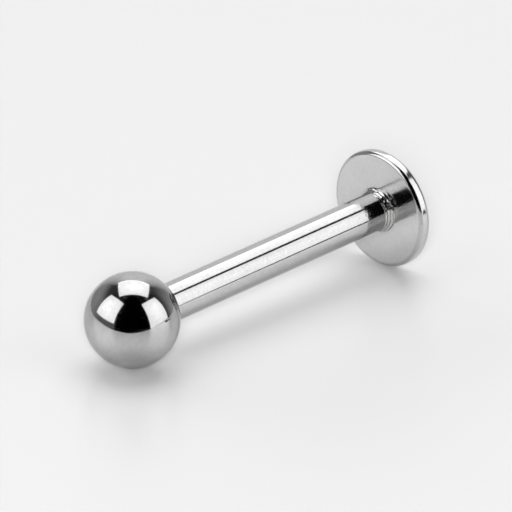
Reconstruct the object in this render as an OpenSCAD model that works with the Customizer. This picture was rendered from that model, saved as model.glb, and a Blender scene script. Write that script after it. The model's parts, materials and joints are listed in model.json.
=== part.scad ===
// Labret stud: a smooth steel bar with a round disc soldered to one end
// and a ball that screws on to the threaded tip at the other end.
// It lies on the plane z = 0 as it does on a table, on its ball and on the
// edge of its disc. All sizes are in millimetres.

/* [Bar] */
// Diameter of the smooth bar
bar_d = 1.65; // [1.6:0.01:2.2]
// Length of the smooth bar, from the disc to the shoulder
bar_l = 12.65; // [6:0.1:20]
// Chamfer at the bar's shoulder
shoulder_chamfer = 0.02; // [0.01:0.01:0.03]

/* [Disc] */
// Diameter of the disc
disc_d = 5.12; // [4.4:0.02:8]
// Thickness of the disc
disc_t = 0.6; // [0.55:0.01:1.2]
// Radius of the edge round the inner face
disc_front_r = 0.2; // [0.05:0.01:0.25]
// Radius of the edge round the outer face
disc_back_r = 0.26; // [0.05:0.01:0.28]

/* [Solder fillet] */
// Length of the fillet along the bar
fillet_l = 0.38; // [0.2:0.01:0.6]
// Width of the fillet on the disc's inner face
fillet_w = 0.16; // [0.08:0.01:0.3]

/* [Ball] */
// Diameter of the ball
ball_d = 4; // [3.6:0.1:6]
// Diameter of the flat round the ball's hole
ball_flat_d = 2; // [1.9:0.05:2.4]
// Depth of the hole, from the flat to the start of the drill point
hole_l = 2.7; // [2.6:0.05:2.9]
// Full angle of the drill point
drill_angle = 118; // [90:1:140]

/* [Thread] */
// Outer diameter of the thread
thread_d = 1.5; // [1.4:0.01:1.52]
// Length of the threaded tip
thread_l = 2.45; // [1.8:0.05:2.5]
// Pitch of the thread
thread_pitch = 0.35; // [0.25:0.05:0.45]
// Depth of the thread
thread_depth = 0.17; // [0.1:0.01:0.22]
// Radial clearance of the thread in the hole
thread_gap = 0.03; // [0.02:0.01:0.04]
// Clearance between the shoulder and the ball's flat
seat_gap = 0.03; // [0.02:0.01:0.1]

/* [Hidden] */
fine = 128;
steel = [0.80, 0.80, 0.81];
overlap = 0.05;

bar_r = bar_d / 2;
disc_r = disc_d / 2;
ball_r = ball_d / 2;
thread_r = thread_d / 2;
root_r = thread_r - thread_depth;
hole_r = thread_r + thread_gap;

// Stations along the axis, measured from the ball's centre towards the disc
flat_s = sqrt(pow(ball_r, 2) - pow(ball_flat_d / 2, 2));
shoulder_s = flat_s + seat_gap;
tip_s = shoulder_s - thread_l;
face_s = shoulder_s + bar_l;
back_s = face_s + disc_t;
hole_s = flat_s - hole_l;

// The fillet's arc is tangent to the bar and meets the disc's inner face
fillet_r = (pow(fillet_l, 2) + pow(fillet_w, 2)) / (2 * fillet_w);

// Tilt at which the disc's edge and the ball touch the same plane
rest_a = face_s + disc_front_r;
rest_b = disc_r - disc_front_r;
rest_tilt = atan2(rest_b, rest_a)
    - asin((ball_r - disc_front_r) / norm([rest_a, rest_b]));

// The ball's centre, so that the whole object is centred on x = 0
reach = (back_s - disc_back_r) * cos(rest_tilt)
    + (disc_r - disc_back_r) * sin(rest_tilt) + disc_back_r;
ball_x = (ball_r - reach) / 2;

// Grooves cut in the threaded tip
groove_count = round(thread_l / thread_pitch) - 1;
tip_chamfer = thread_depth;

// Lays a shape whose axis is +Z, with the ball's centre at its origin, down to rest
module lay() {
    translate([ball_x, 0, ball_r]) rotate([0, 90 - rest_tilt, 0]) children();
}

module smooth_bar() {
    rotate_extrude($fn = fine) polygon([
        [0, shoulder_s - overlap],
        [root_r, shoulder_s - overlap],
        [root_r, shoulder_s],
        [bar_r - shoulder_chamfer, shoulder_s],
        [bar_r, shoulder_s + shoulder_chamfer],
        [bar_r, face_s + overlap],
        [0, face_s + overlap]
    ]);
}

module disc() {
    land = disc_t - disc_front_r - disc_back_r;
    front_s = face_s + disc_front_r;
    rotate_extrude($fn = fine) {
        translate([0, face_s]) square([disc_r - disc_front_r, disc_t - disc_back_r]);
        translate([0, front_s]) square([disc_r, land]);
        translate([0, front_s]) square([disc_r - disc_back_r, disc_t - disc_front_r]);
        translate([disc_r - disc_front_r, front_s]) circle(disc_front_r, $fn = fine);
        translate([disc_r - disc_back_r, back_s - disc_back_r]) circle(disc_back_r, $fn = fine);
    }
}

module solder_fillet() {
    rotate_extrude($fn = fine) difference() {
        translate([bar_r - overlap, face_s - fillet_l])
            square([fillet_w + overlap, fillet_l + overlap]);
        translate([bar_r + fillet_r, face_s - fillet_l]) circle(fillet_r, $fn = fine);
    }
}

// One V groove, as a ring round the threaded tip
module groove(s) {
    rotate_extrude($fn = fine) polygon([
        [root_r, s],
        [thread_r + overlap, s - thread_pitch / 2],
        [thread_r + overlap, s + thread_pitch / 2]
    ]);
}

module threaded_tip() {
    difference() {
        rotate_extrude($fn = fine) polygon([
            [0, tip_s],
            [thread_r - tip_chamfer, tip_s],
            [thread_r, tip_s + tip_chamfer],
            [thread_r, shoulder_s - thread_pitch],
            [root_r, shoulder_s - thread_pitch + thread_depth],
            [root_r, shoulder_s],
            [0, shoulder_s]
        ]);
        for (i = [1 : groove_count])
            groove(tip_s + i * thread_pitch);
    }
}

module post() {
    color(steel) lay() union() {
        smooth_bar();
        disc();
        solder_fillet();
        threaded_tip();
    }
}

module ball() {
    color(steel) lay() difference() {
        sphere(r = ball_r, $fn = fine);
        translate([0, 0, flat_s]) cylinder(r = ball_r, h = ball_r);
        rotate_extrude($fn = fine) polygon([
            [0, hole_s - hole_r / tan(drill_angle / 2)],
            [hole_r, hole_s],
            [hole_r, flat_s + overlap],
            [0, flat_s + overlap]
        ]);
    }
}

post();
ball();
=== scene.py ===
import json
import math

import bpy
from mathutils import Matrix, Vector


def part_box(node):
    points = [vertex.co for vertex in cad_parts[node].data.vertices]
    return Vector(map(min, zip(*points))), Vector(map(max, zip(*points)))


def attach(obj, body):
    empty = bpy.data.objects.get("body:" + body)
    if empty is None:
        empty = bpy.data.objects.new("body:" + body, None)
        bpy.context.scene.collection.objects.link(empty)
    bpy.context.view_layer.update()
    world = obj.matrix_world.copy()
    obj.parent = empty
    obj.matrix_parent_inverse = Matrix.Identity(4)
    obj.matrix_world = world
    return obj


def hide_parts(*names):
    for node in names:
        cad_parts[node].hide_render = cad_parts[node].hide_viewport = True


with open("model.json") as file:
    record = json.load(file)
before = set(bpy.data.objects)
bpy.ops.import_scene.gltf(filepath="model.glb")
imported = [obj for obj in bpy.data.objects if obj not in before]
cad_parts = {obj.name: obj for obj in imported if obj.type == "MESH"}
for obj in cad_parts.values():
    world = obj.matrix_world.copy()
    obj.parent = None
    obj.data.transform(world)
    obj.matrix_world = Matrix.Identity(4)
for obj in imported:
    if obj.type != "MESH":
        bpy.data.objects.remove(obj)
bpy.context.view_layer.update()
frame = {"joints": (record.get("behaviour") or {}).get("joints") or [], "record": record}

# Lengths are in millimetres, and a station is the distance along the bar
# from the ball's centre towards the disc. MM makes metres of them.
MM = 0.001

# Sizes that the frame gives
mounts = {mount["name"]: mount for mount in frame["record"]["mounts"]}
ball_low, ball_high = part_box("ball")
post_low, post_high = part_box("post")
AXIS = -Vector(frame["joints"][0]["axis"])
BALL_R = round((ball_high.y - ball_low.y) / 2 / MM, 2)
DISC_R = round((post_high.y - post_low.y) / 2 / MM, 2)
BALL_CENTRE = Vector((ball_low.x / MM + BALL_R, 0, BALL_R))
BAR_R = mounts["post"]["dims"]["r_mm"]


def station_of(mount_name):
    place = Vector(mounts[mount_name]["pos_m"]) / MM
    return (place - BALL_CENTRE).dot(AXIS)


FACE_S = station_of("disc_seat")
BACK_S = station_of("disc_back")
REST_TILT = math.atan2(AXIS.z, AXIS.x)

# Disc and solder
FRONT_EDGE_R = 0.2
BACK_EDGE_R = 0.26
FILLET_LENGTH = 0.38
FILLET_WIDTH = 0.16
RIDGE_COUNT = 3
RIDGE_HEIGHT = 0.03
LUMP_HEIGHT = 0.06
LUMP_SIZE = 0.25

# Ball and thread
FLAT_R = 1.0
HOLE_R = 0.78
HOLE_LENGTH = 2.7
DRILL_ANGLE = math.radians(118)
HOLE_CHAMFER = 0.06
THREAD_R = 0.75
ROOT_R = 0.58
THREAD_LENGTH = 2.45
THREAD_PITCH = 0.35
TIP_CHAMFER = 0.17
SHOULDER_CHAMFER = 0.02
SEAT_GAP = 0.03
TAP_DEPTH = 0.12
# A face that lies deeper than this inside the ball belongs to its hole
SHELL_DEPTH = 0.15

FLAT_S = math.sqrt(BALL_R ** 2 - FLAT_R ** 2)
SHOULDER_S = FLAT_S + SEAT_GAP
TIP_S = SHOULDER_S - THREAD_LENGTH
HOLE_S = FLAT_S - HOLE_LENGTH

# Fineness of the turned pieces. A holding loop keeps the shading flat beside an edge.
AROUND = 160
ARC_STEPS = 14
BALL_STEPS = 90
STEPS_PER_RIDGE = 8
HOLDING_LOOP = 0.015
WELD = 0.0001
SLIVER = 0.001
SMOOTH_ANGLE = math.radians(30)

# Camera, at the photograph's angle
CAMERA_AIM = Vector((-2.2062, -2.8458, 4.3965))
CAMERA_DISTANCE = 369.3
CAMERA_AZIMUTH = math.radians(-44.87)
CAMERA_ELEVATION = math.radians(23.54)
CAMERA_LENS = 632.8
CAMERA_SENSOR = 36

# Table, in metres
FLOOR_SIZE = 4
FLOOR_GREY = 0.301

# Two black cards that meet in front of the ball, at this distance from it, and a narrow one at its side
CARD_DISTANCE = 16.2
CARD_SIZE = (400, 1800)
CARD_TURN_LEFT = math.radians(12)
CARD_TURN_RIGHT = math.radians(27)
CARD_LIFT = 0.05
TOP_CARD_LIFT = 0.06
SIDE_CARD_PLACE = (190, -6.2)
SIDE_CARD_SIZE = (308, 13)
SIDE_CARD_TURN = math.radians(5.9)

# Distance of the softboxes in metres
SOFTBOX_REACH = 0.45

# How far to the right the middle of the pale sweep is, and how pale the camera sees the room
SWEEP_TURN = math.radians(3)
BACKDROP = 0.87

# Reflectance of polished steel face on, where it is brightest and where it is dullest, and the share of it
# that is left at a grazing view
BRIGHT_STEEL = (0.635, 0.635, 0.635, 1)
DULL_STEEL = (0.49, 0.49, 0.495, 1)
STEEL_EDGE_TINT = (0.79, 0.79, 0.79, 1)

# Directions in the photograph's studio: to its right, away from the camera, up
STUDIO_RIGHT = Vector((math.cos(CAMERA_AZIMUTH), math.sin(CAMERA_AZIMUTH), 0))
STUDIO_FORWARD = Vector((-math.sin(CAMERA_AZIMUTH), math.cos(CAMERA_AZIMUTH), 0))
STUDIO_UP = Vector((0, 0, 1))


def arc(centre, radius, start, end, steps):
    """Points (radius, station) on an arc. Angle 0 points outward, and 90 degrees to the disc's side."""
    points = []
    for i in range(steps + 1):
        angle = start + (end - start) * i / steps
        points.append((centre[0] + radius * math.cos(angle), centre[1] + radius * math.sin(angle)))
    return points


def draw_line(name, points):
    """A line of (radius, station) points, drawn out from one vertex. It is left in edit mode."""
    bpy.ops.object.select_all(action="DESELECT")
    bpy.ops.mesh.primitive_plane_add(size=1)
    piece = bpy.context.object
    piece.name = name
    piece.data.name = name
    bpy.ops.object.mode_set(mode="EDIT")
    bpy.ops.mesh.select_mode(type="VERT")
    bpy.ops.mesh.select_all(action="SELECT")
    bpy.ops.mesh.merge(type="CENTER")
    bpy.ops.transform.translate(value=(points[0][0], 0, points[0][1]))
    for here, there in zip(points, points[1:]):
        move = (there[0] - here[0], 0, there[1] - here[1])
        bpy.ops.mesh.extrude_vertices_move(TRANSFORM_OT_translate={"value": move})
    return piece


def turn(name, points, steps=AROUND):
    """A profile of (radius, station) points turned round the Z axis into a closed body."""
    piece = draw_line(name, points)
    bpy.ops.mesh.select_all(action="SELECT")
    bpy.ops.mesh.spin(steps=steps, angle=2 * math.pi, center=(0, 0, 0), axis=(0, 0, 1))
    bpy.ops.mesh.select_all(action="SELECT")
    bpy.ops.mesh.remove_doubles(threshold=WELD)
    bpy.ops.mesh.normals_make_consistent(inside=False)
    bpy.ops.object.mode_set(mode="OBJECT")
    return piece


def make_only(piece):
    """Deselects everything else and makes the piece the one that operators act on."""
    bpy.ops.object.select_all(action="DESELECT")
    piece.select_set(True)
    bpy.context.view_layer.objects.active = piece


def thread_cutter(name, apex_r, mouth_r, half_width, start_s, turns):
    """A coil with a V section, closed at both ends, that cuts a right-handed thread."""
    section = [(apex_r, start_s), (mouth_r, start_s + half_width), (mouth_r, start_s - half_width)]
    cutter = draw_line(name, section)
    bpy.ops.mesh.select_all(action="SELECT")
    bpy.ops.mesh.edge_face_add()
    bpy.ops.mesh.delete(type="ONLY_FACE")
    bpy.ops.object.mode_set(mode="OBJECT")
    screw = cutter.modifiers.new("helix", "SCREW")
    screw.axis = "Z"
    screw.angle = 2 * math.pi
    screw.screw_offset = THREAD_PITCH
    screw.iterations = turns
    screw.steps = AROUND // 2
    screw.render_steps = AROUND // 2
    bpy.ops.object.modifier_apply(modifier="helix")
    bpy.ops.object.mode_set(mode="EDIT")
    bpy.ops.mesh.select_all(action="SELECT")
    bpy.ops.mesh.remove_doubles(threshold=WELD)
    bpy.ops.mesh.fill_holes(sides=3)
    bpy.ops.mesh.select_all(action="SELECT")
    bpy.ops.mesh.normals_make_consistent(inside=False)
    bpy.ops.object.mode_set(mode="OBJECT")
    return cutter


def clear_slivers(piece):
    """Clears what a cut leaves behind: faces of no width, and points that only split an edge."""
    bpy.ops.object.mode_set(mode="EDIT")
    bpy.ops.mesh.select_all(action="SELECT")
    bpy.ops.mesh.remove_doubles(threshold=SLIVER)
    bpy.ops.mesh.dissolve_degenerate(threshold=SLIVER)
    bpy.ops.mesh.select_mode(type="VERT")
    bpy.ops.mesh.select_all(action="DESELECT")
    bpy.ops.object.mode_set(mode="OBJECT")
    edge_counts = [0] * len(piece.data.vertices)
    for edge in piece.data.edges:
        for corner in edge.vertices:
            edge_counts[corner] += 1
    for vertex, edge_count in zip(piece.data.vertices, edge_counts):
        vertex.select = edge_count == 2
    bpy.ops.object.mode_set(mode="EDIT")
    bpy.ops.mesh.dissolve_verts()
    bpy.ops.object.mode_set(mode="OBJECT")


def cut_with(piece, cutter):
    """Cuts the cutter's shape out of the piece, then clears the cutter away."""
    make_only(piece)
    cut = piece.modifiers.new("cut", "BOOLEAN")
    cut.operation = "DIFFERENCE"
    cut.solver = "EXACT"
    cut.object = cutter
    bpy.ops.object.modifier_apply(modifier="cut")
    make_only(cutter)
    bpy.ops.object.delete()
    make_only(piece)
    clear_slivers(piece)


def lay_down(piece):
    """Lays a turned piece where the frame has it, and leaves its place in its mesh."""
    make_only(piece)
    bpy.ops.object.shade_smooth_by_angle(angle=SMOOTH_ANGLE)
    piece.scale = (MM, MM, MM)
    piece.rotation_euler = (0, math.pi / 2 - REST_TILT, 0)
    piece.location = BALL_CENTRE * MM
    bpy.ops.object.transform_apply(location=True, rotation=True, scale=True)


def fillet_points():
    """The solder's hollow curve from the bar to the disc, with low ridges where it was built up."""
    fillet_r = (FILLET_LENGTH ** 2 + FILLET_WIDTH ** 2) / (2 * FILLET_WIDTH)
    sweep = math.asin(FILLET_LENGTH / fillet_r)
    steps = RIDGE_COUNT * STEPS_PER_RIDGE
    points = []
    for i in range(steps + 1):
        share = i / steps
        angle = sweep * share
        ridge = RIDGE_HEIGHT * math.sin(math.pi * RIDGE_COUNT * share) ** 2
        r = BAR_R + fillet_r - (fillet_r - ridge) * math.cos(angle)
        s = FACE_S - FILLET_LENGTH + (fillet_r - ridge) * math.sin(angle)
        points.append((r, s))
    return points


def make_bar_and_disc():
    front = arc((DISC_R - FRONT_EDGE_R, FACE_S + FRONT_EDGE_R), FRONT_EDGE_R, -math.pi / 2, 0, ARC_STEPS)
    back = arc((DISC_R - BACK_EDGE_R, BACK_S - BACK_EDGE_R), BACK_EDGE_R, 0, math.pi / 2, ARC_STEPS)
    fillet = fillet_points()
    profile = [(ROOT_R, SHOULDER_S), (BAR_R - SHOULDER_CHAMFER, SHOULDER_S)]
    profile += [(BAR_R, SHOULDER_S + SHOULDER_CHAMFER)]
    profile += [(BAR_R, SHOULDER_S + SHOULDER_CHAMFER + HOLDING_LOOP)]
    profile += [(BAR_R, fillet[0][1] - HOLDING_LOOP)]
    profile += fillet
    profile += [(fillet[-1][0] + HOLDING_LOOP, FACE_S), (front[0][0] - HOLDING_LOOP, FACE_S)]
    profile += front + back
    profile += [(back[-1][0] - HOLDING_LOOP, BACK_S), (0, BACK_S)]
    return turn("bar_and_disc", profile)


def make_threaded_tip():
    neck_s = SHOULDER_S - THREAD_PITCH
    profile = [(0, TIP_S), (THREAD_R - TIP_CHAMFER, TIP_S), (THREAD_R, TIP_S + TIP_CHAMFER)]
    profile += [(THREAD_R, neck_s), (ROOT_R, neck_s + TIP_CHAMFER), (ROOT_R, SHOULDER_S)]
    tip = turn("threaded_tip", profile)
    turns = round(THREAD_LENGTH / THREAD_PITCH)
    mouth_r = THREAD_R + TIP_CHAMFER / 2
    half_width = THREAD_PITCH / 2 - HOLDING_LOOP
    start_s = TIP_S - THREAD_PITCH / 2
    cutter = thread_cutter("thread_cutter", ROOT_R, mouth_r, half_width, start_s, turns)
    cut_with(tip, cutter)
    return tip


def roughen_solder(post):
    """Small lumps on the solder ring, which fade out at the bar and at the disc's face."""
    start_s = FACE_S - FILLET_LENGTH
    end_r = BAR_R + FILLET_WIDTH
    group = post.vertex_groups.new(name="solder")
    for vertex in post.data.vertices:
        r = math.hypot(vertex.co.x, vertex.co.y)
        along = (vertex.co.z - start_s) / FILLET_LENGTH
        outward = (end_r - r) / FILLET_WIDTH
        if 0 < along < 1.001 and -0.001 < outward:
            weight = min(1, along * 3, outward * 4)
            group.add([vertex.index], max(0, weight), "REPLACE")
    lumps = bpy.data.textures.new("solder_lumps", "CLOUDS")
    lumps.noise_scale = LUMP_SIZE
    lumps.noise_depth = 2
    make_only(post)
    displace = post.modifiers.new("lumps", "DISPLACE")
    displace.texture = lumps
    displace.texture_coords = "LOCAL"
    displace.vertex_group = "solder"
    displace.strength = LUMP_HEIGHT
    displace.mid_level = 0.5
    bpy.ops.object.modifier_apply(modifier="lumps")


def make_post():
    post = make_bar_and_disc()
    roughen_solder(post)
    tip = make_threaded_tip()
    bpy.ops.object.select_all(action="DESELECT")
    tip.select_set(True)
    post.select_set(True)
    bpy.context.view_layer.objects.active = post
    bpy.ops.object.join()
    bpy.ops.object.mode_set(mode="EDIT")
    bpy.ops.mesh.select_all(action="SELECT")
    bpy.ops.mesh.remove_doubles(threshold=WELD)
    bpy.ops.mesh.normals_make_consistent(inside=False)
    bpy.ops.object.mode_set(mode="OBJECT")
    post.name = "polished_post"
    post.data.name = "polished_post"
    lay_down(post)
    return post


def make_ball():
    flat_angle = math.asin(FLAT_S / BALL_R)
    shell = arc((0, 0), BALL_R, -math.pi / 2, flat_angle, BALL_STEPS)
    profile = shell
    profile += [(FLAT_R - HOLDING_LOOP, FLAT_S), (HOLE_R + HOLE_CHAMFER + HOLDING_LOOP, FLAT_S)]
    profile += [(HOLE_R + HOLE_CHAMFER, FLAT_S), (HOLE_R, FLAT_S - HOLE_CHAMFER)]
    profile += [(HOLE_R, HOLE_S), (0, HOLE_S - HOLE_R / math.tan(DRILL_ANGLE / 2))]
    ball = turn("polished_ball", profile)
    turns = round(THREAD_LENGTH / THREAD_PITCH)
    start_s = TIP_S + THREAD_PITCH / 2
    half_width = THREAD_PITCH / 2 - HOLDING_LOOP
    cutter = thread_cutter("tap", HOLE_R + TAP_DEPTH, HOLE_R - HOLDING_LOOP, half_width, start_s, turns)
    cut_with(ball, cutter)
    lay_down(ball)
    return ball


def add_node(tree, kind, **settings):
    node = tree.nodes.new(kind)
    for name, value in settings.items():
        setattr(node, name, value)
    return node


def set_inputs(node, **values):
    for name, value in values.items():
        node.inputs[name.replace("_", " ")].default_value = value


def math_node(tree, operation, first, second=None, clamp=False):
    """A Math node whose two inputs are sockets or plain numbers. Returns its output."""
    node = add_node(tree, "ShaderNodeMath", operation=operation, use_clamp=clamp)
    for i, value in enumerate((first, second)):
        if value is None:
            continue
        if isinstance(value, bpy.types.NodeSocket):
            tree.links.new(value, node.inputs[i])
        else:
            node.inputs[i].default_value = value
    return node.outputs[0]


def map_range(tree, value, low, high, to_low, to_high, smooth=False):
    node = add_node(tree, "ShaderNodeMapRange", clamp=True)
    if smooth:
        node.interpolation_type = "SMOOTHSTEP"
    tree.links.new(value, node.inputs["Value"])
    set_inputs(node, From_Min=low, From_Max=high, To_Min=to_low, To_Max=to_high)
    return node.outputs["Result"]


def vector_scale(tree, vector, factors):
    node = add_node(tree, "ShaderNodeVectorMath", operation="MULTIPLY")
    tree.links.new(vector, node.inputs[0])
    node.inputs[1].default_value = factors
    return node.outputs["Vector"]


def noise(tree, vector, scale, detail=2, roughness=0.5):
    node = add_node(tree, "ShaderNodeTexNoise", noise_dimensions="3D")
    tree.links.new(vector, node.inputs["Vector"])
    set_inputs(node, Scale=scale, Detail=detail, Roughness=roughness)
    return node.outputs["Fac"]


def new_group(name, inputs, outputs):
    """A shader node group. inputs are (name, socket kind, value) and outputs (name, socket kind)."""
    group = bpy.data.node_groups.new(name, "ShaderNodeTree")
    for socket_name, kind, value in inputs:
        socket = group.interface.new_socket(name=socket_name, in_out="INPUT", socket_type=kind)
        socket.default_value = value
    for socket_name, kind in outputs:
        group.interface.new_socket(name=socket_name, in_out="OUTPUT", socket_type=kind)
    inside = group.nodes.new("NodeGroupInput")
    outside = group.nodes.new("NodeGroupOutput")
    return group, inside, outside


def make_turned_coordinates():
    """Place on the turned piece in millimetres, with Z along the bar, and the distance from the axis."""
    outputs = [("Place", "NodeSocketVector"), ("Radius", "NodeSocketFloat"), ("Station", "NodeSocketFloat")]
    group, _, outside = new_group("turned_coordinates", [], outputs)
    coordinates = add_node(group, "ShaderNodeTexCoord")
    mapping = add_node(group, "ShaderNodeMapping", vector_type="TEXTURE")
    mapping.inputs["Location"].default_value = BALL_CENTRE * MM
    mapping.inputs["Rotation"].default_value = (0, math.pi / 2 - REST_TILT, 0)
    mapping.inputs["Scale"].default_value = (MM, MM, MM)
    group.links.new(coordinates.outputs["Object"], mapping.inputs["Vector"])
    place = mapping.outputs["Vector"]
    flat = vector_scale(group, place, (1, 1, 0))
    length = add_node(group, "ShaderNodeVectorMath", operation="LENGTH")
    group.links.new(flat, length.inputs[0])
    parts = add_node(group, "ShaderNodeSeparateXYZ")
    group.links.new(place, parts.inputs[0])
    group.links.new(place, outside.inputs["Place"])
    group.links.new(length.outputs["Value"], outside.inputs["Radius"])
    group.links.new(parts.outputs["Z"], outside.inputs["Station"])
    return group


def make_polishing_lines():
    """Fine lines that a polishing wheel leaves, from -1 to 1: long along the bar and close across it."""
    inputs = [
        ("Place", "NodeSocketVector", (0, 0, 0)),
        ("Across", "NodeSocketFloat", 30),
        ("Along", "NodeSocketFloat", 0.6),
    ]
    group, inside, outside = new_group("polishing_lines", inputs, [("Lines", "NodeSocketFloat")])
    factors = add_node(group, "ShaderNodeCombineXYZ")
    group.links.new(inside.outputs["Across"], factors.inputs["X"])
    group.links.new(inside.outputs["Across"], factors.inputs["Y"])
    group.links.new(inside.outputs["Along"], factors.inputs["Z"])
    stretched = add_node(group, "ShaderNodeVectorMath", operation="MULTIPLY")
    group.links.new(inside.outputs["Place"], stretched.inputs[0])
    group.links.new(factors.outputs["Vector"], stretched.inputs[1])
    lines = noise(group, stretched.outputs["Vector"], 1, detail=3)
    centred = map_range(group, lines, 0.25, 0.75, -1, 1)
    group.links.new(centred, outside.inputs["Lines"])
    return group


def make_hairline_scratches():
    """A mask of thin broken scratches, 1 in a scratch and 0 beside it."""
    inputs = [
        ("Place", "NodeSocketVector", (0, 0, 0)),
        ("Scale", "NodeSocketFloat", 2),
        ("Width", "NodeSocketFloat", 0.01),
    ]
    group, inside, outside = new_group("hairline_scratches", inputs, [("Mask", "NodeSocketFloat")])
    spread = add_node(group, "ShaderNodeVectorMath", operation="SCALE")
    group.links.new(inside.outputs["Place"], spread.inputs[0])
    group.links.new(inside.outputs["Scale"], spread.inputs["Scale"])
    field = noise(group, vector_scale(group, spread.outputs["Vector"], (1.0, 0.35, 0.5)), 1, detail=1)
    off_centre = math_node(group, "ABSOLUTE", math_node(group, "SUBTRACT", field, 0.5))
    ratio = math_node(group, "DIVIDE", off_centre, inside.outputs["Width"], clamp=True)
    line = math_node(group, "SUBTRACT", 1, ratio)
    patches = noise(group, spread.outputs["Vector"], 1.7, detail=2)
    broken = map_range(group, patches, 0.5, 0.62, 0, 1)
    group.links.new(math_node(group, "MULTIPLY", line, broken), outside.inputs["Mask"])
    return group


def make_handling_haze():
    """Faint cloudy patches, from 0 to 1, where a polished surface has been touched."""
    inputs = [("Place", "NodeSocketVector", (0, 0, 0)), ("Scale", "NodeSocketFloat", 0.8)]
    group, inside, outside = new_group("handling_haze", inputs, [("Haze", "NodeSocketFloat")])
    spread = add_node(group, "ShaderNodeVectorMath", operation="SCALE")
    group.links.new(inside.outputs["Place"], spread.inputs[0])
    group.links.new(inside.outputs["Scale"], spread.inputs["Scale"])
    cloud = noise(group, spread.outputs["Vector"], 1, detail=4, roughness=0.6)
    group.links.new(map_range(group, cloud, 0.35, 0.7, 0, 1), outside.inputs["Haze"])
    return group


def make_fine_grain():
    """Even fine grain of the last polish, from -1 to 1."""
    inputs = [("Place", "NodeSocketVector", (0, 0, 0)), ("Scale", "NodeSocketFloat", 9)]
    group, inside, outside = new_group("fine_grain", inputs, [("Grain", "NodeSocketFloat")])
    spread = add_node(group, "ShaderNodeVectorMath", operation="SCALE")
    group.links.new(inside.outputs["Place"], spread.inputs[0])
    group.links.new(inside.outputs["Scale"], spread.inputs["Scale"])
    grain = noise(group, spread.outputs["Vector"], 1, detail=2, roughness=0.6)
    group.links.new(map_range(group, grain, 0.25, 0.75, -1, 1), outside.inputs["Grain"])
    return group


def place_group(tree, group, **values):
    node = add_node(tree, "ShaderNodeGroup", node_tree=group)
    for name, value in values.items():
        if isinstance(value, bpy.types.NodeSocket):
            tree.links.new(value, node.inputs[name])
        else:
            node.inputs[name].default_value = value
    return node


def new_material(name):
    material = bpy.data.materials.new(name)
    material.use_nodes = True
    tree = material.node_tree
    tree.nodes.clear()
    shader = add_node(tree, "ShaderNodeBsdfPrincipled")
    output = add_node(tree, "ShaderNodeOutputMaterial")
    tree.links.new(shader.outputs["BSDF"], output.inputs["Surface"])
    return material, tree, shader


def weighted(tree, value, weight, total=None):
    """The value times its weight, on top of a total so far."""
    share = math_node(tree, "MULTIPLY", value, weight)
    return share if total is None else math_node(tree, "ADD", share, total)


def steel_material(
    name, groups, roughness, across, along, line_height, grain_scale, grain_height, grain_tone,
):
    """Polished surgical steel. Heights are in millimetres. Returns its nodes and the sums of dullness,
    roughness and height, which a piece's own wear is added to before finish_steel joins them up."""
    material, tree, shader = new_material(name)
    shader.inputs["Specular Tint"].default_value = STEEL_EDGE_TINT
    set_inputs(shader, Metallic=1.0)
    turned = place_group(tree, groups["turned_coordinates"])
    place = turned.outputs["Place"]
    polish = place_group(tree, groups["polishing_lines"], Place=place, Across=across, Along=along)
    lines = polish.outputs["Lines"]
    grain = place_group(tree, groups["fine_grain"], Place=place, Scale=grain_scale).outputs["Grain"]
    haze = place_group(tree, groups["handling_haze"], Place=place, Scale=0.8).outputs["Haze"]
    hairlines = place_group(tree, groups["hairline_scratches"], Place=place, Scale=2.2, Width=0.006)
    scratches = hairlines.outputs["Mask"]
    dullness = weighted(tree, haze, 0.25, 0.42)
    dullness = weighted(tree, grain, grain_tone, dullness)
    dullness = weighted(tree, lines, 0.2, dullness)
    rough = math_node(tree, "ADD", roughness, math_node(tree, "MULTIPLY", lines, 0.015))
    rough = weighted(tree, haze, 0.03, rough)
    rough = weighted(tree, scratches, 0.12, rough)
    height = weighted(tree, lines, line_height)
    height = weighted(tree, grain, grain_height, height)
    height = weighted(tree, scratches, -0.00006, height)
    return {
        "material": material, "tree": tree, "shader": shader, "turned": turned, "grain": grain,
        "dullness": dullness, "rough": rough, "height": height,
    }


def finish_steel(steel):
    """Joins the sums of a steel to its shader, and returns its material."""
    tree, shader = steel["tree"], steel["shader"]
    tone = add_node(tree, "ShaderNodeMix", data_type="RGBA")
    tone.inputs["A"].default_value = BRIGHT_STEEL
    tone.inputs["B"].default_value = DULL_STEEL
    tree.links.new(steel["dullness"], tone.inputs["Factor"])
    tree.links.new(tone.outputs["Result"], shader.inputs["Base Color"])
    tree.links.new(math_node(tree, "MAXIMUM", steel["rough"], 0.03), shader.inputs["Roughness"])
    bump = add_node(tree, "ShaderNodeBump")
    set_inputs(bump, Strength=1.0, Distance=MM)
    tree.links.new(steel["height"], bump.inputs["Height"])
    tree.links.new(bump.outputs["Normal"], shader.inputs["Normal"])
    return steel["material"]


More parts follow.
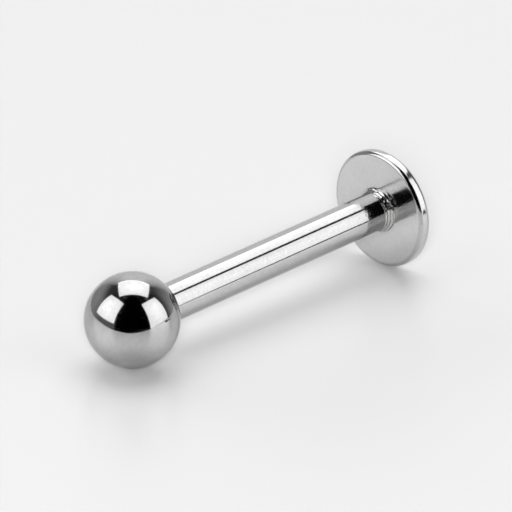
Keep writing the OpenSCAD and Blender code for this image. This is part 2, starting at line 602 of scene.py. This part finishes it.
def bar_material(groups):
    """The bar and the disc. The polish is less even beside the solder and on the disc's faces."""
    steel = steel_material(
        "polished_bar_steel", groups, roughness=0.075, across=28, along=0.6,
        line_height=0.00004, grain_scale=9, grain_height=0.00012, grain_tone=0.26,
    )
    tree = steel["tree"]
    radius = steel["turned"].outputs["Radius"]
    station = steel["turned"].outputs["Station"]
    beyond_bar = map_range(tree, radius, BAR_R + 0.05, BAR_R + 0.3, 0, 1)
    behind_face = map_range(tree, station, FACE_S, FACE_S + 0.1, 0, 1)
    on_disc = math_node(tree, "MAXIMUM", beyond_bar, behind_face)
    beside_solder = map_range(tree, station, FACE_S - 2.4, FACE_S - 1.3, 0, 1, smooth=True)
    beside_solder = math_node(tree, "MULTIPLY", beside_solder, math_node(tree, "SUBTRACT", 1, on_disc))
    steel["rough"] = weighted(tree, on_disc, 0.035, steel["rough"])
    uneven = weighted(tree, beside_solder, 0.00055, math_node(tree, "MULTIPLY", on_disc, 0.0002))
    steel["height"] = weighted(tree, steel["grain"], uneven, steel["height"])
    steel["dullness"] = weighted(tree, beside_solder, 0.4, steel["dullness"])
    steel["dullness"] = weighted(tree, on_disc, -0.4, steel["dullness"])
    return finish_steel(steel)


def ball_material(groups):
    """The ball, polished alike all round."""
    steel = steel_material(
        "polished_ball_steel", groups, roughness=0.07, across=5, along=5,
        line_height=0.00002, grain_scale=12, grain_height=0.00002, grain_tone=0.14,
    )
    return finish_steel(steel)


def solder_material(groups):
    """The soldered seam: brighter and less even than the polished steel."""
    material, tree, shader = new_material("soldered_seam")
    place = place_group(tree, groups["turned_coordinates"]).outputs["Place"]
    haze = place_group(tree, groups["handling_haze"], Place=place, Scale=9.0).outputs["Haze"]
    rings = place_group(tree, groups["polishing_lines"], Place=place, Across=2.5, Along=16).outputs["Lines"]
    shader.inputs["Base Color"].default_value = (0.66, 0.66, 0.65, 1)
    shader.inputs["Specular Tint"].default_value = STEEL_EDGE_TINT
    set_inputs(shader, Metallic=1.0)
    tree.links.new(map_range(tree, haze, 0, 1, 0.05, 0.16), shader.inputs["Roughness"])
    bump = add_node(tree, "ShaderNodeBump")
    set_inputs(bump, Strength=1.0, Distance=MM)
    height = weighted(tree, haze, 0.001, weighted(tree, rings, 0.002))
    tree.links.new(height, bump.inputs["Height"])
    tree.links.new(bump.outputs["Normal"], shader.inputs["Normal"])
    return material


def cut_material(groups):
    """Cut threads and the drilled hole: the turning marks run round the axis."""
    material, tree, shader = new_material("cut_steel")
    place = place_group(tree, groups["turned_coordinates"]).outputs["Place"]
    marks = place_group(tree, groups["polishing_lines"], Place=place, Across=1.5, Along=40).outputs["Lines"]
    shader.inputs["Base Color"].default_value = (0.56, 0.56, 0.57, 1)
    set_inputs(shader, Metallic=1.0)
    tree.links.new(map_range(tree, marks, -1, 1, 0.2, 0.34), shader.inputs["Roughness"])
    bump = add_node(tree, "ShaderNodeBump")
    set_inputs(bump, Strength=1.0, Distance=0.0006 * MM)
    tree.links.new(marks, bump.inputs["Height"])
    tree.links.new(bump.outputs["Normal"], shader.inputs["Normal"])
    return material


def turned_place(piece, polygon):
    """(radius, station) of a face's centre, in millimetres, after the piece was laid down."""
    place = polygon.center / MM - BALL_CENTRE
    station = place.dot(AXIS)
    return (place - AXIS * station).length, station


def dress_post(post, polished, solder, cut):
    """Gives the threaded tip the cut steel, the fillet the solder, and all the rest the polished steel."""
    for material in (polished, solder, cut):
        post.data.materials.append(material)
    for polygon in post.data.polygons:
        r, s = turned_place(post, polygon)
        if s < SHOULDER_S - WELD:
            polygon.material_index = 2
        elif FACE_S - FILLET_LENGTH < s < FACE_S - WELD and r < BAR_R + FILLET_WIDTH:
            polygon.material_index = 1


def dress_ball(ball, polished, cut):
    """Gives the hole the cut steel, and the rest the polished steel."""
    for material in (polished, cut):
        ball.data.materials.append(material)
    for polygon in ball.data.polygons:
        r, s = turned_place(ball, polygon)
        if s < FLAT_S - WELD and math.hypot(r, s) < BALL_R - SHELL_DEPTH:
            polygon.material_index = 1


def make_floor():
    """A pale satin table."""
    bpy.ops.object.select_all(action="DESELECT")
    bpy.ops.mesh.primitive_plane_add(size=FLOOR_SIZE)
    floor = bpy.context.object
    floor.name = "floor"
    material, tree, shader = new_material("pale_table")
    shader.inputs["Base Color"].default_value = (FLOOR_GREY, FLOOR_GREY, FLOOR_GREY, 1)
    set_inputs(shader, Roughness=0.3, IOR=1.7)
    floor.data.materials.append(material)
    return floor


def make_black_card(name, material, place, size, turned, lift):
    """A black card that lies on the table, which only the mirroring steel sees. place is the middle of its
    far edge, to the right of the ball and ahead of it, and it is turned about that point."""
    bpy.ops.object.select_all(action="DESELECT")
    bpy.ops.mesh.primitive_plane_add(size=1)
    card = bpy.context.object
    card.name = name
    bpy.ops.object.mode_set(mode="EDIT")
    bpy.ops.transform.translate(value=(0, -0.5, 0))
    bpy.ops.object.mode_set(mode="OBJECT")
    edge = BALL_CENTRE + STUDIO_RIGHT * place[0] + STUDIO_FORWARD * place[1]
    card.scale = (size[0] * MM, size[1] * MM, 1)
    card.rotation_euler = (0, 0, CAMERA_AZIMUTH + turned)
    card.location = (edge.x * MM, edge.y * MM, lift * MM)
    bpy.ops.object.transform_apply(location=True, rotation=True, scale=True)
    card.data.materials.append(material)
    card.visible_camera = False
    card.visible_diffuse = False
    card.visible_shadow = False
    return card


def card_material(name, grey, roughness, gloss):
    """Black from above, and clear from below so that the table under it keeps its own sheen."""
    material, tree, shader = new_material(name)
    shader.inputs["Base Color"].default_value = (grey, grey, grey, 1)
    set_inputs(shader, Roughness=roughness, Specular_IOR_Level=gloss)
    geometry = add_node(tree, "ShaderNodeNewGeometry")
    clear = add_node(tree, "ShaderNodeBsdfTransparent")
    either = add_node(tree, "ShaderNodeMixShader")
    tree.links.new(geometry.outputs["Backfacing"], either.inputs[0])
    tree.links.new(shader.outputs["BSDF"], either.inputs[1])
    tree.links.new(clear.outputs["BSDF"], either.inputs[2])
    tree.links.new(either.outputs["Shader"], tree.get_output_node("ALL").inputs["Surface"])
    return material


def front_card_place(side, turned):
    """Middle of a front card's far edge. side is -1 for the left card and 1 for the right one."""
    half_width = CARD_SIZE[0] / 2
    return side * half_width * math.cos(turned), -CARD_DISTANCE - half_width * math.sin(turned)


def make_black_cards():
    """The front cards are glossy and mirror the dark room in front. The side card is matt, so that it
    mirrors no softbox at a grazing view."""
    glossy = card_material("black_glossy_card", grey=0.001, roughness=0.06, gloss=0.5)
    matt = card_material("black_matt_card", grey=0.001, roughness=1.0, gloss=0.0)
    left_place = front_card_place(-1, CARD_TURN_LEFT)
    right_place = front_card_place(1, CARD_TURN_RIGHT)
    return [
        make_black_card("front_left_card", glossy, left_place, CARD_SIZE, CARD_TURN_LEFT, CARD_LIFT),
        make_black_card("front_right_card", glossy, right_place, CARD_SIZE, -CARD_TURN_RIGHT, TOP_CARD_LIFT),
        make_black_card("side_card", matt, SIDE_CARD_PLACE, SIDE_CARD_SIZE, -SIDE_CARD_TURN, CARD_LIFT),
    ]


def studio_vector(right, forward, up):
    return STUDIO_RIGHT * right + STUDIO_FORWARD * forward + STUDIO_UP * up


def shade_softbox(light, edge):
    """The cloth of a softbox is brightest in its middle. edge is the share of that at its corners."""
    light.use_nodes = True
    tree = light.node_tree
    tree.nodes.clear()
    geometry = add_node(tree, "ShaderNodeNewGeometry")
    middle = add_node(tree, "ShaderNodeVectorMath", operation="SUBTRACT")
    tree.links.new(geometry.outputs["Parametric"], middle.inputs[0])
    middle.inputs[1].default_value = (0.5, 0.5, 0)
    length = add_node(tree, "ShaderNodeVectorMath", operation="LENGTH")
    tree.links.new(vector_scale(tree, middle.outputs["Vector"], (1, 1, 0)), length.inputs[0])
    emission = add_node(tree, "ShaderNodeEmission")
    tree.links.new(map_range(tree, length.outputs["Value"], 0.12, 0.6, 1, edge), emission.inputs["Strength"])
    output = add_node(tree, "ShaderNodeOutputLight")
    tree.links.new(emission.outputs["Emission"], output.inputs["Surface"])


def make_panel(name, seen_from, centre, outward, upright, size, radiance):
    """A rectangular light, given as a point of the stud sees it. Its vectors are (right, forward, up), and
    its place and size are shares of SOFTBOX_REACH. outward points away from the stud, behind the light."""
    light = bpy.data.lights.new(name, "AREA")
    light.shape = "RECTANGLE"
    light.size = size[0] * SOFTBOX_REACH
    light.size_y = size[1] * SOFTBOX_REACH
    light.energy = math.pi * light.size * light.size_y * radiance
    panel = bpy.data.objects.new(name, light)
    bpy.context.scene.collection.objects.link(panel)
    away = studio_vector(*outward).normalized()
    upward = studio_vector(*upright)
    upward = (upward - away * upward.dot(away)).normalized()
    across = upward.cross(away)
    panel.matrix_world = Matrix((across, upward, away)).transposed().to_4x4()
    panel.location = seen_from * MM + studio_vector(*centre) * SOFTBOX_REACH
    panel.visible_camera = False
    return panel


def light_only(panel, pieces):
    """The panel shines on these pieces alone."""
    lit = bpy.data.collections.new("lit_by_" + panel.name)
    for piece in pieces:
        lit.objects.link(piece)
    panel.light_linking.receiver_collection = lit


def make_softboxes(ball, post, stage):
    """Softboxes as the steel mirrors them. The photographed post leans a little more than the modelled one,
    so it has an overhead and a right softbox of its own, in the places where its polished bar shows them."""
    overhead = make_panel(
        "overhead_softbox", BALL_CENTRE, centre=(0.073, 0.384, 0.921), outward=(-0.033, -0.019, 0.999),
        upright=(-0.015, 1.000, 0.019), size=(1.021, 0.903), radiance=1.76,
    )
    left = make_panel(
        "left_softbox", BALL_CENTRE, centre=(-0.766, -0.172, 0.619), outward=(-0.797, -0.556, 0.237),
        upright=(0.224, 0.092, 0.970), size=(0.981, 0.946), radiance=1.7,
    )
    right = make_panel(
        "right_softbox", BALL_CENTRE, centre=(0.827, -0.217, 0.519), outward=(0.768, -0.619, 0.166),
        upright=(-0.151, 0.077, 0.985), size=(0.947, 1.036), radiance=1.72,
    )
    bar_middle = BALL_CENTRE + AXIS * (SHOULDER_S + FACE_S) / 2
    post_overhead = make_panel(
        "post_overhead_softbox", bar_middle, centre=(0.079, 0.411, 0.908), outward=(-0.015, 0.385, 0.923),
        upright=(0.002, 0.923, -0.385), size=(1.256, 1.102), radiance=1.66,
    )
    post_right = make_panel(
        "post_right_softbox", bar_middle, centre=(0.852, -0.159, 0.499), outward=(0.794, -0.560, 0.237),
        upright=(-0.207, 0.118, 0.971), size=(1.078, 1.055), radiance=1.62,
    )
    edges = ((overhead, 0.78), (left, 0.76), (right, 0.74), (post_overhead, 0.9), (post_right, 0.85))
    for panel, edge in edges:
        shade_softbox(panel.data, edge)
    for panel in (overhead, right):
        light_only(panel, [ball] + stage)
    for panel in (post_overhead, post_right):
        light_only(panel, [post])


def make_table_lights():
    """Soft light for the table: from beside the camera, low behind, above and the right. The steel doesn't
    mirror it."""
    for name, centre, size, radiance in (
        ("camera_table_light", (0, -0.906, 0.423), (0.175, 0.175), 222),
        ("low_back_table_light", (-0.34, 0.93, 0.12), (2.8, 0.2), 21),
        ("overhead_table_light", (0.050, 0.470, 0.881), (1.050, 0.880), 4.3),
        ("right_table_light", (0.826, -0.214, 0.522), (0.950, 0.950), 1.0),
    ):
        panel = make_panel(name, BALL_CENTRE, centre, centre, (0, 0.6, 0.8), size, radiance)
        panel.visible_glossy = False


def facing(tree, direction, towards):
    """Cosine between a node's direction and a fixed one."""
    node = add_node(tree, "ShaderNodeVectorMath", operation="DOT_PRODUCT")
    tree.links.new(direction, node.inputs[0])
    node.inputs[1].default_value = towards
    return node.outputs["Value"]


def make_world():
    """A dim room with a pale sweep behind the table. up is the sine of a direction's height, and ahead and
    to_right are cosines on the level. The camera sees the whole room as pale as the table."""
    world = bpy.data.worlds.new("studio_room")
    bpy.context.scene.world = world
    world.use_nodes = True
    tree = world.node_tree
    tree.nodes.clear()
    coordinates = add_node(tree, "ShaderNodeTexCoord")
    direction = coordinates.outputs["Generated"]
    parts = add_node(tree, "ShaderNodeSeparateXYZ")
    tree.links.new(direction, parts.inputs[0])
    up = parts.outputs["Z"]
    level = add_node(tree, "ShaderNodeVectorMath", operation="NORMALIZE")
    tree.links.new(vector_scale(tree, direction, (1, 1, 0)), level.inputs[0])
    ahead = facing(tree, level.outputs["Vector"], STUDIO_FORWARD)
    to_right = facing(tree, level.outputs["Vector"], STUDIO_RIGHT)
    left_wall = map_range(tree, up, 0.34, 0.74, 0.39, 0.05, smooth=True)
    left_wall = math_node(tree, "MULTIPLY", left_wall, map_range(tree, ahead, -0.1, 0.5, 0.4, 1))
    right_wall = map_range(tree, up, 0, 0.7, 0.50, 0.08)
    right_wall = math_node(tree, "MULTIPLY", right_wall, map_range(tree, ahead, 0.1, 0.5, 0.06, 1))
    walls = add_node(tree, "ShaderNodeMix", data_type="FLOAT")
    tree.links.new(map_range(tree, to_right, -0.3, 0.3, 0, 1), walls.inputs["Factor"])
    tree.links.new(left_wall, walls.inputs["A"])
    tree.links.new(right_wall, walls.inputs["B"])
    lit = map_range(tree, ahead, -0.78, -0.72, 0, 1, smooth=True)
    walls = math_node(tree, "MULTIPLY", walls.outputs["Result"], lit)
    sweep_middle = STUDIO_FORWARD * math.cos(SWEEP_TURN) + STUDIO_RIGHT * math.sin(SWEEP_TURN)
    to_sweep = facing(tree, level.outputs["Vector"], sweep_middle)
    sweep = map_range(tree, to_sweep, 0.73, 0.985, 0, 1.08)
    sweep = math_node(tree, "MULTIPLY", sweep, map_range(tree, up, 0.70, 0.82, 1, 0, smooth=True))
    room = math_node(tree, "MAXIMUM", walls, sweep)
    rays = add_node(tree, "ShaderNodeLightPath")
    seen = add_node(tree, "ShaderNodeMix", data_type="FLOAT")
    tree.links.new(rays.outputs["Is Camera Ray"], seen.inputs["Factor"])
    tree.links.new(room, seen.inputs["A"])
    seen.inputs["B"].default_value = BACKDROP
    background = add_node(tree, "ShaderNodeBackground")
    tree.links.new(seen.outputs["Result"], background.inputs["Strength"])
    output = add_node(tree, "ShaderNodeOutputWorld")
    tree.links.new(background.outputs["Background"], output.inputs["Surface"])


def make_camera():
    lens = bpy.data.cameras.new("camera")
    lens.lens = CAMERA_LENS
    lens.sensor_width = CAMERA_SENSOR
    lens.clip_start = 0.01
    lens.clip_end = 10
    camera = bpy.data.objects.new("camera", lens)
    bpy.context.scene.collection.objects.link(camera)
    level = math.cos(CAMERA_ELEVATION)
    back = STUDIO_UP * math.sin(CAMERA_ELEVATION) - STUDIO_FORWARD * level
    upward = STUDIO_RIGHT.cross(-back)
    place = (CAMERA_AIM + back * CAMERA_DISTANCE) * MM
    camera.matrix_world = Matrix((STUDIO_RIGHT, upward, back)).transposed().to_4x4()
    camera.location = place
    bpy.context.scene.camera = camera
    view = bpy.context.scene.view_settings
    view.view_transform = "Standard"
    view.look = "None"


groups = {
    "turned_coordinates": make_turned_coordinates(),
    "polishing_lines": make_polishing_lines(),
    "hairline_scratches": make_hairline_scratches(),
    "handling_haze": make_handling_haze(),
    "fine_grain": make_fine_grain(),
}
bar_steel = bar_material(groups)
ball_steel = ball_material(groups)
solder_steel = solder_material(groups)
cut_steel = cut_material(groups)

post = make_post()
dress_post(post, bar_steel, solder_steel, cut_steel)
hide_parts("post")
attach(post, "post")

ball = make_ball()
dress_ball(ball, ball_steel, cut_steel)
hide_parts("ball")
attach(ball, "ball")

stage = [make_floor()] + make_black_cards()
make_softboxes(ball, post, stage)
make_table_lights()
make_world()
make_camera()
